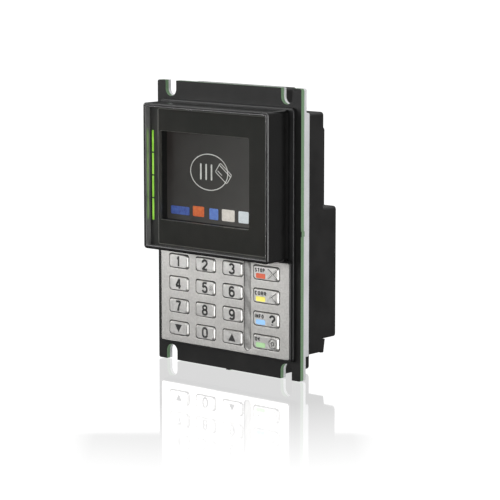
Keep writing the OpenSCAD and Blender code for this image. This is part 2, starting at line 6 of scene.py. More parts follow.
import bmesh
import bpy
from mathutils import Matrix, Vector

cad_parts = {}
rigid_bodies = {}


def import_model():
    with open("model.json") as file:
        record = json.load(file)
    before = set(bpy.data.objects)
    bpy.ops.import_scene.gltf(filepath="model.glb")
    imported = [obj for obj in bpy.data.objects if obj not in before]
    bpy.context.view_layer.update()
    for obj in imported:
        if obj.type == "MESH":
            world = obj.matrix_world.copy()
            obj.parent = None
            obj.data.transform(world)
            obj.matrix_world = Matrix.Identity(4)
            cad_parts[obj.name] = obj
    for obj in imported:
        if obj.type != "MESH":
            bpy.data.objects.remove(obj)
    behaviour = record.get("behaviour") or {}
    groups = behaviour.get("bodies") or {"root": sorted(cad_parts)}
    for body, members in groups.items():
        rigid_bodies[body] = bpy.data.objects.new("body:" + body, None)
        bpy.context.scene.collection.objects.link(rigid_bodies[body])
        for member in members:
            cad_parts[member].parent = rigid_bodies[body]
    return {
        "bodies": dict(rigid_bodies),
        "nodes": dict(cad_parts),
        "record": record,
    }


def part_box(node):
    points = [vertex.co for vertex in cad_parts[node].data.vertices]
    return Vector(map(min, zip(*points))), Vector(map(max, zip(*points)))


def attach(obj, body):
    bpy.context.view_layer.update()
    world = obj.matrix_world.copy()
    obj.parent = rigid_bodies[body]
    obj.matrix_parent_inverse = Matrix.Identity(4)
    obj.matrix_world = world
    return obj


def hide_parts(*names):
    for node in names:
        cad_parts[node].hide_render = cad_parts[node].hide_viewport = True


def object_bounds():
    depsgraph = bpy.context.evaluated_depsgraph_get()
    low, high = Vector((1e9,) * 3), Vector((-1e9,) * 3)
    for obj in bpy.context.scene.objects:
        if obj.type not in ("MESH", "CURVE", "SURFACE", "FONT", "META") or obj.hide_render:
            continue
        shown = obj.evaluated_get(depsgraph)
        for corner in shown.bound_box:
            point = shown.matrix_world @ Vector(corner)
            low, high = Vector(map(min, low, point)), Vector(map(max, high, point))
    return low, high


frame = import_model()
cad_low, cad_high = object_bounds()
cad_nodes = frame["nodes"]

MM = 0.001
ROOT = "terminal"


def span(node):
    """A CAD node's box in millimetres: x0, x1, y0, y1, z0, z1."""
    low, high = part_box(node)
    return [v / MM for axis in range(3) for v in (low[axis], high[axis])]


# ---------------------------------------------------------------- outlines

def rect(x0, x1, z0, z1, r, inset=0.0, steps=8, rise=1):
    """Points round a rectangle with round corners, pulled in by inset."""
    x0, x1, z0, z1 = x0 + inset, x1 - inset, z0 + inset, z1 - inset
    r = max(min(r - inset, (x1 - x0) / 2 - 0.01, (z1 - z0) / 2 - 0.01), 0.02)
    corners = [(x1 - r, z0 + r, -90), (x1 - r, z1 - r, 0), (x0 + r, z1 - r, 90), (x0 + r, z0 + r, 180)]
    points = []
    for i, (cx, cz, start) in enumerate(corners):
        for k in range(steps + 1):
            a = math.radians(start + 90 * k / steps)
            points.append((cx + r * math.cos(a), cz + r * math.sin(a)))
        if i % 2 == 0:
            ax, az = points[-1]
            bz = z1 - r if i == 0 else z0 + r
            points += [(ax, az + (bz - az) * k / rise) for k in range(1, rise)]
    return points


def circle(x, z, r, steps=32):
    turn = 2 * math.pi / steps
    return [(x + r * math.cos(k * turn), z + r * math.sin(k * turn)) for k in range(steps)]


def stadium(p, q, width, steps=6):
    """Points round a straight stroke with round ends."""
    a = math.atan2(q[1] - p[1], q[0] - p[0])
    points = []
    for (x, z), start in ((q, a - math.pi / 2), (p, a + math.pi / 2)):
        for k in range(steps + 1):
            b = start + math.pi * k / steps
            points.append((x + width / 2 * math.cos(b), z + width / 2 * math.sin(b)))
    return points


def fillet(r, y, towards=1, steps=3):
    """(inset, y) pairs that round an edge from the face at y to the side."""
    pairs = []
    for k in range(steps + 1):
        a = math.pi / 2 * k / steps
        pairs.append((r * (1 - math.sin(a)), y + towards * r * (1 - math.cos(a))))
    return pairs


class Shape:
    """Collects closed loops of points, in millimetres, into one mesh."""

    def __init__(self):
        self.bm = bmesh.new()

    def loop(self, points, y, wave=None):
        return [self.bm.verts.new((x, y + (wave(x, z) if wave else 0), z)) for x, z in points]

    def skin(self, loops, closed=False, paint=0):
        pairs = list(zip(loops, loops[1:]))
        if closed:
            pairs.append((loops[-1], loops[0]))
        for a, b in pairs:
            n = len(a)
            for i in range(n):
                face = self.bm.faces.new((a[i], a[(i + 1) % n], b[(i + 1) % n], b[i]))
                face.material_index = paint
        return loops

    def cap(self, loops, paint=0):
        edges = []
        for loop in loops:
            for i, v in enumerate(loop):
                w = loop[(i + 1) % len(loop)]
                edges.append(self.bm.edges.get((v, w)) or self.bm.edges.new((v, w)))
        made = bmesh.ops.triangle_fill(self.bm, use_beauty=True, edges=edges)
        for g in made["geom"]:
            if isinstance(g, bmesh.types.BMFace):
                g.material_index = paint

    def block(self, outline, y0, y1, edge=0.0, paint=0, wall=None):
        """A slab whose outline is a function of its inset, with a rounded front edge."""
        pairs = fillet(edge, y0) if edge else [(0, y0)]
        loops = [self.loop(outline(i), y) for i, y in pairs] + [self.loop(outline(0), y1)]
        self.skin(loops, paint=paint if wall is None else wall)
        self.cap([loops[0]], paint)
        self.cap([loops[-1]], paint)

    def make(self, name, paints, body=ROOT, replaces=(), slot=None, crease=38, weigh=True):
        bm = self.bm
        bmesh.ops.remove_doubles(bm, verts=bm.verts, dist=1e-5)
        bmesh.ops.recalc_face_normals(bm, faces=bm.faces)
        bmesh.ops.scale(bm, vec=(MM, MM, MM), verts=bm.verts)
        for f in bm.faces:
            f.smooth = True
        for e in bm.edges:
            if len(e.link_faces) == 2 and e.calc_face_angle() > math.radians(crease):
                e.smooth = False
        mesh = bpy.data.meshes.new(name)
        bm.to_mesh(mesh)
        bm.free()
        return place(name, mesh, paints, body, replaces, slot, weigh)


def place(name, mesh, paints, body=ROOT, replaces=(), slot=None, weigh=False):
    """Puts a mesh in the scene, painted and riding on its body."""
    obj = bpy.data.objects.new(name, mesh)
    bpy.context.scene.collection.objects.link(obj)
    for paint in paints if isinstance(paints, (list, tuple)) else [paints]:
        mesh.materials.append(paint)
    if weigh:
        obj.modifiers.new("even normals", "WEIGHTED_NORMAL").keep_sharp = True
    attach(obj, body)
    if replaces:
        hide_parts(*replaces)
    return obj


# ---------------------------------------------------------------- materials

class Paint:
    """A procedural material under construction. Textures use the object's own coordinates, in metres."""

    def __init__(self, name):
        self.mat = bpy.data.materials.new(name)
        self.mat.use_nodes = True
        self.tree = self.mat.node_tree
        self.tree.nodes.clear()
        self.place = self.add("TexCoord").outputs["Object"]

    def add(self, kind, sockets=None, **settings):
        node = self.tree.nodes.new("ShaderNode" + kind)
        for key, value in settings.items():
            setattr(node, key, value)
        for key, value in (sockets or {}).items():
            if isinstance(value, bpy.types.NodeSocket):
                self.tree.links.new(value, node.inputs[key])
            else:
                node.inputs[key].default_value = value
        return node

    def noise(self, size, stretch=(1, 1, 1), detail=3.0, rough=0.55):
        """Noise whose blobs are about size millimetres across."""
        place = self.add("Mapping", {"Vector": self.place, "Scale": stretch}).outputs[0]
        return self.add("TexNoise", {
            "Vector": place, "Scale": 1000 / size, "Detail": detail, "Roughness": rough}).outputs["Fac"]

    def remap(self, value, low, high, start=0.3, end=0.7):
        return self.add("MapRange", {
            "Value": value, "From Min": start, "From Max": end, "To Min": low, "To Max": high}).outputs[0]

    def blend(self, share, a, b):
        node = self.add("Mix", {"Factor": share}, data_type="RGBA")
        for socket, value in ((node.inputs[6], a), (node.inputs[7], b)):
            if isinstance(value, bpy.types.NodeSocket):
                self.tree.links.new(value, socket)
            else:
                socket.default_value = (*value, 1)
        return node.outputs[2]

    def math(self, kind, a, b=0.0):
        node = self.add("Math", operation=kind)
        for socket, value in zip(node.inputs, (a, b)):
            if isinstance(value, bpy.types.NodeSocket):
                self.tree.links.new(value, socket)
            else:
                socket.default_value = value
        return node.outputs[0]

    def bump(self, height, depth, strength=1.0):
        return self.add("Bump", {"Height": height, "Distance": depth * MM, "Strength": strength}).outputs[0]

    def done(self, shader):
        self.add("OutputMaterial", {"Surface": shader})
        return self.mat

    def surface(self, colour, rough, height=None, depth=0.0, **sockets):
        values = {"Base Color": colour, "Roughness": rough}
        if height is not None:
            values["Normal"] = self.bump(height, depth)
        values.update({key.replace("_", " "): value for key, value in sockets.items()})
        return self.done(self.add("BsdfPrincipled", values).outputs[0])


def moulded(name, colour, rough, grain=0.5, depth=0.02, spread=0.35, **sockets):
    """Moulded plastic or rubber: fine grain, uneven gloss and a little colour drift."""
    p = Paint(name)
    fine, broad = p.noise(grain), p.noise(14, detail=2.0)
    light = [min(1, c * (1 + spread)) for c in colour]
    dark = [c * (1 - spread) for c in colour]
    return p.surface(p.blend(p.remap(broad, 0, 1), dark, light),
                     p.remap(fine, rough - 0.05, rough + 0.06), fine, depth, **sockets)


def metal(name, colour, rough, grain=0.35, stretch=(1, 1, 1), depth=0.01, spread=0.08, **sockets):
    """Bare or plated metal: grain in one direction or none, smudges in the gloss."""
    p = Paint(name)
    fine, smudge = p.noise(grain, stretch, 4.0), p.noise(9, detail=3.0)
    light = [min(1, c * (1 + spread)) for c in colour]
    dark = [c * (1 - spread) for c in colour]
    tone = p.math("ADD", p.math("MULTIPLY", fine, 0.6), p.math("MULTIPLY", smudge, 0.4))
    return p.surface(p.blend(p.remap(tone, 0, 1, 0.35, 0.65), dark, light),
                     p.remap(smudge, rough - 0.05, rough + 0.06), fine, depth, **{"Metallic": 1.0, **sockets})


def laminate():
    """Black satin mask on both faces of a board, with the glass laminate bare on its edges."""
    p = Paint("black_laminate_faces")
    normal = p.add("TexCoord").outputs["Normal"]
    facing = p.math("ABSOLUTE", p.add("SeparateXYZ", {"Vector": normal}).outputs["Y"])
    edge = p.math("LESS_THAN", facing, 0.6)
    depth = p.add("SeparateXYZ", {"Vector": p.place}).outputs["Y"]
    layers = p.math("SINE", p.math("MULTIPLY", depth, 2 * math.pi / (0.65 * MM)))
    fibre = p.noise(0.6, (1, 4, 1), 4.0)
    glass = p.blend(p.remap(fibre, 0, 1), (0.13, 0.24, 0.13), (0.27, 0.38, 0.25))
    glass = p.blend(p.remap(layers, 0.0, 0.35, -1, 1), glass, (0.045, 0.12, 0.05))
    mask = p.blend(p.remap(p.noise(16), 0, 1), (0.009, 0.009, 0.009), (0.014, 0.0137, 0.0133))
    fine = p.noise(0.45)
    return p.surface(p.blend(edge, mask, glass), p.remap(fine, 0.38, 0.48), fine, 0.006,
                     Specular_IOR_Level=0.16)


def circuit(name):
    """Green solder mask with copper tracks showing through and tinned pads."""
    p = Paint(name)
    place = p.add("Mapping", {"Vector": p.place, "Rotation": (math.pi / 2, 0, 0)}).outputs[0]
    bricks = p.add("TexBrick", {
        "Vector": place, "Scale": 1000 / 3.2, "Mortar Size": 0.05, "Mortar Smooth": 0.2, "Bias": 0.0,
        "Brick Width": 0.9, "Row Height": 0.22, "Color1": (0, 0, 0, 1), "Color2": (0.25, 0.25, 0.25, 1),
        "Mortar": (1, 1, 1, 1)}).outputs["Color"]
    dots = p.add("TexVoronoi", {"Vector": place, "Scale": 1000 / 4.5, "Randomness": 0.6}).outputs["Distance"]
    pads = p.math("LESS_THAN", dots, 0.13)
    mask = p.blend(bricks, (0.012, 0.085, 0.035), (0.03, 0.16, 0.06))
    return p.surface(p.blend(pads, mask, (0.62, 0.61, 0.56)), p.remap(p.noise(2), 0.28, 0.42),
                     bricks, 0.03, Metallic=pads)


def clear(name):
    """Clear, hard-coated window: what is behind shows through, and its faces give a reflection."""
    p = Paint(name)
    ripple = p.noise(40, detail=1.0)
    normal = p.bump(ripple, 0.001)
    facing = p.add("Fresnel", {"IOR": 1.46, "Normal": normal}).outputs[0]
    outer = p.math("SUBTRACT", 1.0, p.add("NewGeometry").outputs["Backfacing"])
    share = p.math("MULTIPLY", facing, outer)
    gloss = p.add("BsdfGlossy", {"Color": (1, 1, 1, 1), "Roughness": 0.03, "Normal": normal}).outputs[0]
    tint = p.blend(p.remap(ripple, 0, 1), (0.93, 0.94, 0.93), (0.96, 0.96, 0.95))
    through = p.add("BsdfTransparent", {"Color": tint}).outputs[0]
    mix = p.add("MixShader", {"Fac": share})
    p.tree.links.new(through, mix.inputs[1])
    p.tree.links.new(gloss, mix.inputs[2])
    return p.done(mix.outputs[0])


def lit(name, dark, light, strength, size=4.0, stretch=(1, 1, 1), rough=0.4):
    """A lit surface whose glow is a little uneven."""
    p = Paint(name)
    colour = p.blend(p.remap(p.noise(size, stretch, 2.0), 0, 1), dark, light)
    return p.surface(p.blend(0.5, (0, 0, 0), colour), rough, Emission_Color=colour,
                     Emission_Strength=strength, Specular_IOR_Level=0.2)


def screen_glow():
    """The display's dark picture, lighter towards its lower right."""
    p = Paint("display_background")
    x0, x1, _, _, z0, z1 = span("lcd_panel")
    spot = p.add("SeparateXYZ", {"Vector": p.place})
    across = p.remap(spot.outputs["X"], 0, 1, x0 * MM, x1 * MM)
    down = p.remap(spot.outputs["Z"], 1, 0, z0 * MM, z1 * MM)
    slope = p.math("ADD", p.math("MULTIPLY", across, 0.6), p.math("MULTIPLY", down, 0.4))
    slope = p.math("ADD", slope, p.remap(p.noise(12, detail=1.0), -0.04, 0.04))
    colour = p.blend(p.remap(slope, 0, 1, 0.12, 0.9), (0.0175, 0.0145, 0.0137), (0.064, 0.062, 0.06))
    return p.surface((0.004, 0.004, 0.004, 1), 0.35, Emission_Color=colour, Emission_Strength=1.0,
                     Specular_IOR_Level=0.15)


def tape():
    p = Paint("yellow_winding_tape")
    bands = p.add("TexWave", {"Vector": p.place, "Scale": 60.0, "Distortion": 1.5, "Detail": 2.0},
                  bands_direction="Z").outputs["Fac"]
    return p.surface(p.blend(bands, (0.62, 0.46, 0.08), (0.8, 0.66, 0.2)), 0.4, bands, 0.05)


def amber_film():
    p = Paint("amber_film_tracks")
    x = p.add("SeparateXYZ", {"Vector": p.place}).outputs["X"]
    tracks = p.math("GREATER_THAN", p.math("SINE", p.math("MULTIPLY", x, 2 * math.pi / MM)), 0.2)
    colour = p.blend(tracks, (0.55, 0.22, 0.03), (0.72, 0.4, 0.12))
    return p.surface(colour, 0.28, p.noise(3), 0.02)


def panel_metal(name, colour, rough, spread):
    """Bead-blasted stainless steel: fine even grain over soft patches."""
    p = Paint(name)
    fine, mid, broad = p.noise(0.3, detail=5.0), p.noise(1.3, detail=3.0), p.noise(11, detail=2.0)
    tone = p.math("ADD", p.math("MULTIPLY", fine, 0.4),
                  p.math("ADD", p.math("MULTIPLY", mid, 0.4), p.math("MULTIPLY", broad, 0.2)))
    light = [min(1, c * (1 + spread)) for c in colour]
    dark = [c * (1 - spread) for c in colour]
    return p.surface(p.blend(p.remap(tone, 0, 1, 0.36, 0.64), dark, light),
                     p.remap(mid, rough - 0.06, rough + 0.06), p.math("ADD", fine, mid), 0.014,
                     Metallic=1.0)


LAMINATE = laminate()
ALUMINIUM = metal("rolled_aluminium", (0.86, 0.865, 0.88), 0.46, 0.5, (0.25, 1, 1), 0.02, Metallic=0.45)
ZINC = metal("bright_zinc", (0.6, 0.61, 0.62), 0.26, 0.4)
TINNED = metal("tinned_steel_sheet", (0.62, 0.62, 0.61), 0.3, 0.6, (0.2, 1, 1))
BRASS = metal("turned_brass", (0.62, 0.43, 0.16), 0.28, 0.3, (1, 0.2, 1))
GOLD = metal("gold_contact", (0.83, 0.6, 0.2), 0.22, 0.4)
BLACK = moulded("black_moulded_plastic", (0.0125, 0.012, 0.0118), 0.42, 0.55, 0.03, Specular_IOR_Level=0.4)
BODY_BLACK = moulded("black_body_plastic", (0.011, 0.011, 0.0112), 0.38, 0.5, 0.02, Specular_IOR_Level=0.4)
GLOSS = moulded("gloss_black_shell", (0.0042, 0.0041, 0.004), 0.2, 8, 0.0006, 0.2, Specular_IOR_Level=0.5)
FOAM = moulded("black_foam_rubber", (0.006, 0.006, 0.006), 0.85, 0.7, 0.08)
MASK = moulded("printed_mask", (0.0195, 0.019, 0.0175), 0.55, 6.0, 0.0005, 0.1, Specular_IOR_Level=0.12)
MASK_FRAME = moulded("printed_frame", (0.029, 0.0285, 0.028), 0.5, 6.0, 0.0005, 0.1, Specular_IOR_Level=0.2)
CUT_EDGE = moulded("polished_cut_edge", (0.09, 0.088, 0.08), 0.35, 6, 0.0005, 0.1)
EDGE_STRIP = moulded("polished_pane_edge", (0.5, 0.49, 0.5), 0.07, 3, 0.0005, 0.1, Metallic=0.6)
WINDOW = clear("clear_hard_coated_window")
GREEN = lit("lit_green_guide", (0.2, 0.5, 0.035), (0.42, 0.78, 0.12), 0.85, 3.0, (1, 1, 0.4))
DISPLAY = screen_glow()
LIGHT_LINE = lit("display_light_line", (0.36, 0.355, 0.345), (0.46, 0.455, 0.445), 1.0)
STEEL = panel_metal("blasted_steel_panel", (0.59, 0.58, 0.56), 0.43, 0.16)
KEY_STEEL = panel_metal("blasted_steel_key", (0.7, 0.69, 0.67), 0.38, 0.14)
# Darker steel painted as shade: it fills the pressed channel's trough and the walls and rings of the raised
# marks on the keys.
SHADE_STEEL = panel_metal("blasted_steel_painted_shade", (0.36, 0.355, 0.345), 0.5, 0.3)
# Dark steel painted as the shade in gaps: the walls of the key openings, the caps' sides and lips, and the rim
# of the channel.
SHADOW_GAP = moulded("painted_shadow_steel_gap", (0.03, 0.029, 0.028), 0.6, 0.5, 0.02, 0.2)
INK = moulded("black_ink_inlay", (0.014, 0.0135, 0.013), 0.5, 0.3, 0.01, 0.3)
RUBBER = moulded("grey_silicone", (0.09, 0.09, 0.095), 0.62, 0.6, 0.03)
BOARD = circuit("green_circuit_board")
NYLON = moulded("natural_nylon", (0.7, 0.68, 0.6), 0.45, 0.8, 0.02, 0.06)
EPOXY = moulded("clear_epoxy_lens", (0.7, 0.7, 0.5), 0.15, 1.0, 0.01, 0.08)
SLEEVE = moulded("blue_heatshrink_sleeve", (0.015, 0.022, 0.075), 0.3, 2.0, 0.02)
TAPE = tape()
FILM = amber_film()

SLOT_PAINTS = {
    "black_laminate": LAMINATE, "bare_aluminium": ALUMINIUM, "zinc_steel": ZINC, "black_plastic": BLACK,
    "black_rubber": FOAM, "gloss_black": GLOSS, "clear_window": WINDOW, "mask_black": MASK,
    "green_light": GREEN, "circuit_board": BOARD, "led_body": EPOXY, "display_glass": DISPLAY,
    "tinned_steel": TINNED, "white_plastic": NYLON, "amber_ribbon": FILM, "panel_steel": STEEL,
    "key_steel": KEY_STEEL, "grey_rubber": RUBBER, "brass_metal": BRASS, "winding_tape": TAPE,
    "capacitor_sleeve": SLEEVE,
}
for part in frame["record"]["subparts"]:
    if part["node"] in cad_nodes:
        mesh = cad_nodes[part["node"]].data
        mesh.materials.clear()
        mesh.materials.append(SLOT_PAINTS[part["material_slot"]])
cad_nodes["front_body"].data.materials[0] = BODY_BLACK


def soften(node, width, segments=2):
    """Rounds a CAD node's sharp edges with modifiers, which leave its own mesh as it is."""
    obj = cad_nodes[node]
    obj.modifiers.new("join corners", "WELD").merge_threshold = 1e-6
    bevel = obj.modifiers.new("round edges", "BEVEL")
    bevel.width = width * MM
    bevel.segments = segments
    bevel.limit_method = "ANGLE"
    bevel.angle_limit = math.radians(50)
    bevel.harden_normals = True
    bevel.use_clamp_overlap = True


# ---------------------------------------------------------------- reader head

RIM = 1.8
y_lcd = span("lcd_panel")[2]
HEAD_EDGE = 0.5
HEAD_WALL = 2.3
hx0, hx1, y_head, y_gasket, hz0, hz1 = span("head_housing")
_, _, _, y_mask, _, _ = span("display_window")
y_mask_back = span("window_mask")[3]
HEAD_R = 2.0
BOSS_X = 43.6
BOSS_ZS = (67.2, -8.9)
BOSS_R, BOSS_HOLE_R = 2.6, 1.25
BOSS_GAP = 2.3         # from the mask's back to the boss's front
BOSS_FLOOR = 1.4       # thickness of the boss in front of its screw hole


def head_rect(inset, r=HEAD_R):
    return rect(hx0, hx1, hz0, hz1, r, inset)


def head_shell():
    s = Shape()
    edge, soft = HEAD_EDGE, 0.14
    profile = [(RIM, y_head + soft), (RIM - 0.04, y_head + 0.03), (RIM - soft, y_head)]
    profile += [(edge + 0.06, y_head), (edge - 0.04, y_head + 0.03), (0.03, y_head + edge - 0.04),
                (0.0, y_head + edge + 0.06)]
    profile += [(0.0, y_head + 4), (0.0, y_gasket - 3), (0.0, y_gasket - 0.35), (0.1, y_gasket - 0.1),
                (0.35, y_gasket), (HEAD_WALL - 0.2, y_gasket), (HEAD_WALL, y_gasket - 0.2),
                (HEAD_WALL, y_mask_back + 0.1), (HEAD_WALL - 0.1, y_mask_back), (RIM + 0.1, y_mask_back),
                (RIM, y_mask_back - 0.1)]
    loops = [s.loop(head_rect(i), y) for i, y in profile]
    s.skin(loops, closed=True)
    boss_front = y_mask_back + BOSS_GAP
    for x, z in [(side * BOSS_X, z) for side in (-1, 1) for z in BOSS_ZS]:
        rings = [s.loop(circle(x, z, r, 24), y) for r, y in (
            (BOSS_HOLE_R, boss_front + BOSS_FLOOR), (BOSS_HOLE_R, y_gasket), (BOSS_R, y_gasket),
            (BOSS_R, boss_front), (BOSS_HOLE_R, boss_front))]
        s.skin(rings[:-1])
        s.cap([rings[0]])
        s.skin([rings[3], rings[4]])
        s.cap([rings[4]])
    return s.make("reader_head_shell", GLOSS, replaces=["head_housing"], slot="gloss_black")


head_shell()

# The pane's polished edge, which mirrors the light bars beside it.
STRIP = 0.28
s = Shape()
ring = [(RIM + 0.02, y_head + 0.25), (RIM + STRIP, y_head + 0.25), (RIM + STRIP, y_mask - 0.02),
        (RIM + 0.02, y_mask - 0.02)]
s.skin([s.loop(head_rect(i), y) for i, y in ring], closed=True)
s.make("pane_edge_strip", EDGE_STRIP, slot="clear_window")

s = Shape()
pane_inset = RIM + STRIP + 0.04
s.block(lambda i: head_rect(i + pane_inset), y_head + 0.05, y_mask - 0.02, 0.06)
s.make("clear_window_pane", WINDOW, replaces=["display_window"], slot="clear_window")

# Mask behind the pane: a lighter outer frame, a shallow step, and the cut-outs for display and lights.
sx0, sx1, _, _, sz0, sz1 = span("lcd_frame")
SCREEN = (sx0 + 3.55, sx1 - 3.55, sz0 + 5.75, sz1 - 5.75, 1.0)
bx0, bx1, _, y_bar_back, bz0, bz1 = span("status_light_bars")
BAR_GAP = 0.8
BAR_COUNT = 4
bar_h = (bz1 - bz0 - BAR_GAP * (BAR_COUNT - 1)) / BAR_COUNT
BARS = [(bx0, bx1, bz0 + i * (bar_h + BAR_GAP), bz0 + i * (bar_h + BAR_GAP) + bar_h, 0.25)
        for i in range(BAR_COUNT)]

s = Shape()
STEP = (-40.6, 43.2, -11.4, 68.8, 1.2)
STEP_DEPTH = 0.3
front = y_mask
outer = [s.loop(head_rect(RIM + 0.05), y) for y in (front, y_mask_back)]
s.skin(outer, paint=1)
bar_holes = []
for bar in BARS:
    walls = [s.loop(rect(*bar, inset=-0.05, steps=3), y) for y in (front, y_mask_back)]
    s.skin(walls, paint=0)
    bar_holes.append(walls)
step = [s.loop(rect(*STEP, inset=-i), y) for i, y in (
    (0.0, front), (-0.22, front + STEP_DEPTH * 0.8), (-0.34, front + STEP_DEPTH))]
s.skin(step, paint=2)
cut = [s.loop(rect(*SCREEN, inset=-i), y) for i, y in (
    (0.18, front + STEP_DEPTH), (0.05, front + STEP_DEPTH + 0.05), (0.0, front + STEP_DEPTH + 0.2),
    (0.0, y_mask_back))]
s.skin(cut, paint=3)
s.cap([outer[0], step[0]] + [w[0] for w in bar_holes], paint=1)
s.cap([step[-1], cut[0]], paint=0)
s.cap([outer[1], cut[-1]] + [w[1] for w in bar_holes], paint=0)
s.make("window_mask_plate", [MASK, MASK_FRAME, CUT_EDGE, CUT_EDGE], replaces=["window_mask"],
       slot="mask_black")

s = Shape()
for bar in BARS:
    s.block(lambda i, b=bar: rect(*b, inset=i, steps=3), y_mask + 0.05, y_bar_back, 0.2)
s.make("green_light_bars", GREEN, replaces=["status_light_bars"], slot="green_light")

# A foam seal closes the gap between the mask and the display.
s = Shape()
s.skin([s.loop(rect(*SCREEN, inset=-i), y) for i, y in (
    (0.06, y_mask_back + 0.02), (0.3, y_mask_back + 0.02), (0.3, y_lcd - 0.05), (0.06, y_lcd - 0.05))],
    closed=True)
s.make("display_foam_seal", FOAM, slot="black_rubber")

# ---------------------------------------------------------------- display picture

y_picture = y_lcd - 0.04
y_line = y_lcd - 0.1
s = Shape()
s.block(lambda i: rect(*SCREEN, inset=i - 0.4), y_picture, y_lcd - 0.005)
s.make("display_picture", DISPLAY, slot="display_glass")


def flat_ring(s, x, z, rx, rz, width, y0, y1):
    """A thin oval ring."""
    s.skin([s.loop([(x + (rx + d) * math.cos(a), z + (rz + d) * math.sin(a))
                    for a in [math.tau * k / 72 for k in range(72)]], y) for d, y in (
        (-width / 2, y0), (width / 2, y0), (width / 2, y1), (-width / 2, y1))], closed=True)


def frame_outline(s, x, z, w, h, turn, width, y0, y1, r=1.6):
    """A thin rounded frame, turned about its own centre."""
    c, n = math.cos(turn), math.sin(turn)

    def turned(inset):
        return [(x + px * c - pz * n, z + px * n + pz * c)
                for px, pz in rect(-w / 2, w / 2, -h / 2, h / 2, r, inset)]

    s.skin([s.loop(turned(i), y) for i, y in ((width, y0), (0, y0), (0, y1), (width, y1))], closed=True)


# A plain sign: an oval ring, three equal strokes and a tilted card outline.
s = Shape()
SIGN_X, SIGN_Z = -5.7, 33.1
STROKE_XS = (-12.2, -8.0, -3.8)
STROKE_HALF = 4.2
flat_ring(s, SIGN_X, SIGN_Z, 14.6, 10.5, 0.5, y_line, y_picture)
for x in STROKE_XS:
    s.block(lambda i, x=x: stadium((x, SIGN_Z - STROKE_HALF), (x, SIGN_Z + STROKE_HALF), 1.1 - 2 * i),
            y_line, y_picture)
s.make("display_sign_ring", LIGHT_LINE, slot="display_glass")
s = Shape()
CARD_X, CARD_Z, CARD_TURN = 5.6, 33.2, math.radians(-36)
frame_outline(s, CARD_X, CARD_Z, 11.4, 7.0, CARD_TURN, 0.42, y_line - 0.01, y_picture, 1.2)
c, n = math.cos(CARD_TURN), math.sin(CARD_TURN)
for (a0, a1), up in (((-5.4, 5.4), 1.9), ((-4.2, -0.4), -1.7)):
    p0, p1 = [(CARD_X + a * c - up * n, CARD_Z + a * n + up * c) for a in (a0, a1)]
    s.block(lambda i, p=p0, q=p1: stadium(p, q, 0.45 - 2 * i), y_line - 0.01, y_picture)
s.make("display_sign_card", LIGHT_LINE, slot="display_glass")

# Five plain coloured tiles along the foot of the picture.
TILE_R = 0.7
# Box in millimetres, two tones, strength of the glow.
TILES = [
    ((-36.2, -21.4, 6.4, 11.2), (0.035, 0.055, 0.22), (0.05, 0.1, 0.33), 0.75),
    ((-18.6, -9.7, 6.4, 12.4), (0.5, 0.09, 0.03), (0.62, 0.15, 0.04), 0.62),
    ((-5.5, 1.4, 5.6, 12.1), (0.09, 0.16, 0.48), (0.12, 0.22, 0.55), 0.62),
    ((4.3, 14.2, 5.6, 12.4), (0.58, 0.55, 0.51), (0.7, 0.66, 0.62), 0.62),
    ((17.2, 25.0, 5.6, 12.4), (0.56, 0.61, 0.65), (0.66, 0.71, 0.75), 0.62),
]
for k, (box, dark, light, strength) in enumerate(TILES):
    s = Shape()
    s.block(lambda i, box=box: rect(*box, TILE_R, i), y_line, y_picture)
    s.make(f"display_tile_{k + 1}", lit(f"display_tile_{k + 1}_face", dark, light, strength, 2.0),
           slot="display_glass")

# ---------------------------------------------------------------- key field

KEY_LIP = 0.45
KEY_GAP = 0.4
KEY_R = 2.0
LIP_T = 0.9
BEVEL_SHARE = 0.35     # a cap's top and bottom bevels are this share of its side bevels
px0, px1, y_panel, y_panel_back, pz0, pz1 = span("keypad_panel")
KEYS = [n for n in cad_nodes if n.startswith("key_") and n + "_cap" in frame["bodies"]]
OPENINGS = {}
for key in KEYS:
    kx0, kx1, _, _, kz0, kz1 = span(key)
    OPENINGS[key] = (kx0 + KEY_LIP, kx1 - KEY_LIP, kz0 + KEY_LIP, kz1 - KEY_LIP, 1.8)
y_key = span("key_5")[2]
y_key_back = span("key_5")[3]

CHANNEL = (15.85, 21.35, -70.0, -16.4, 2.7)
CHANNEL_DEPTH = 0.42


def channel_wave(x, z):
    """Slow waves along the pressed channel."""
    return 0.1 * math.sin(z / 2.1 + x * 0.9) + 0.06 * math.sin(z / 3.7 + 1 + x * 0.4)


s = Shape()
outer = [s.loop(rect(px0, px1, pz0, pz1, 1.4, i), y) for i, y in fillet(0.2, y_panel)]
outer.append(s.loop(rect(px0, px1, pz0, pz1, 1.4), y_panel_back))
s.skin(outer)
holes = []
for opening in OPENINGS.values():
    walls = [s.loop(rect(*opening, inset=-i), y) for i, y in fillet(0.18, y_panel)]
    s.skin(walls)
    walls.append(s.loop(rect(*opening), y_panel_back))
    # Below its rounded edge each opening's wall is painted dark, as painted shade in the gap round the key.
    s.skin(walls[-2:], paint=2)
    holes.append(walls)
trough = []
half = (CHANNEL[1] - CHANNEL[0]) / 2
for k in range(12):
    inset = half * 0.985 * (k / 11) ** 0.9
    share = min(1.0, inset / half)
    depth = CHANNEL_DEPTH * math.sqrt(max(0.0, 1 - (1 - share) ** 2))
    wave = (lambda x, z, g=min(1, k / 3): g * channel_wave(x, z)) if k else None
    trough.append(s.loop(rect(*CHANNEL, inset=inset, rise=60), y_panel + depth, wave))
# The channel's rim is painted as a dark shade line, and its trough in darker steel as painted shade.
s.skin(trough[:2], paint=2)
s.skin(trough[1:], paint=1)
s.cap([trough[-1]], paint=1)
s.cap([outer[0], trough[0]] + [w[0] for w in holes])
s.cap([outer[-1]] + [w[-1] for w in holes])
s.make("steel_key_panel", [STEEL, SHADE_STEEL, SHADOW_GAP], replaces=["keypad_panel"], slot="panel_steel")


